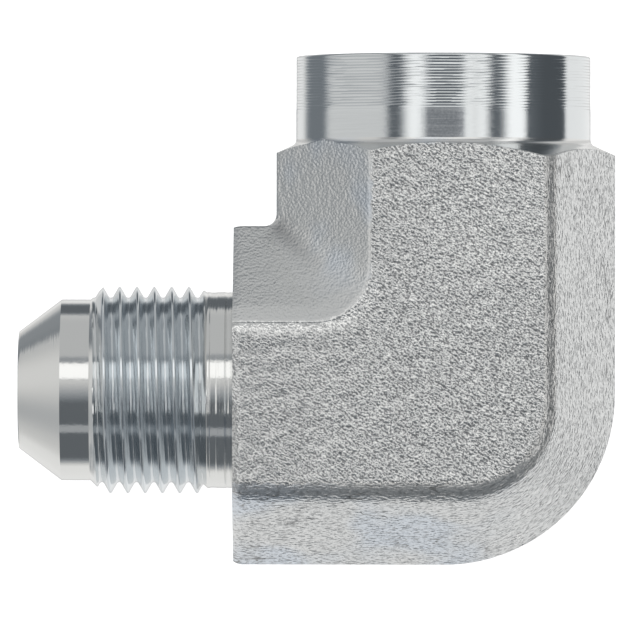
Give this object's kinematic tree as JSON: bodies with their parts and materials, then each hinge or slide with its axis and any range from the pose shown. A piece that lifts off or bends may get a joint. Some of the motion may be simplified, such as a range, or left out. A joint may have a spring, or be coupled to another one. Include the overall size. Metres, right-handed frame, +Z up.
{
  "type": "hydraulic elbow adapter",
  "caption": "Right-angle steel hydraulic adapter: forged six-sided elbow with a 37 degree flare male end and a turned round collar around a female taper pipe port.",
  "frame": {"origin": "on the lower wrench pad, straight below the crossing of the two port axes", "axes": "+Z up, square to the wrench pads and the parting plane; +Y out of the female port; -X out of the male flare end"},
  "size_m": [0.0546, 0.0465, 0.0276],
  "materials": {
    "zinc_plated_steel": "bright zinc plating over a blasted forged skin, with turned ends"
  },
  "bodies": {
    "root": {"elbow_adapter": "zinc_plated_steel"}
  },
  "joints": []
}
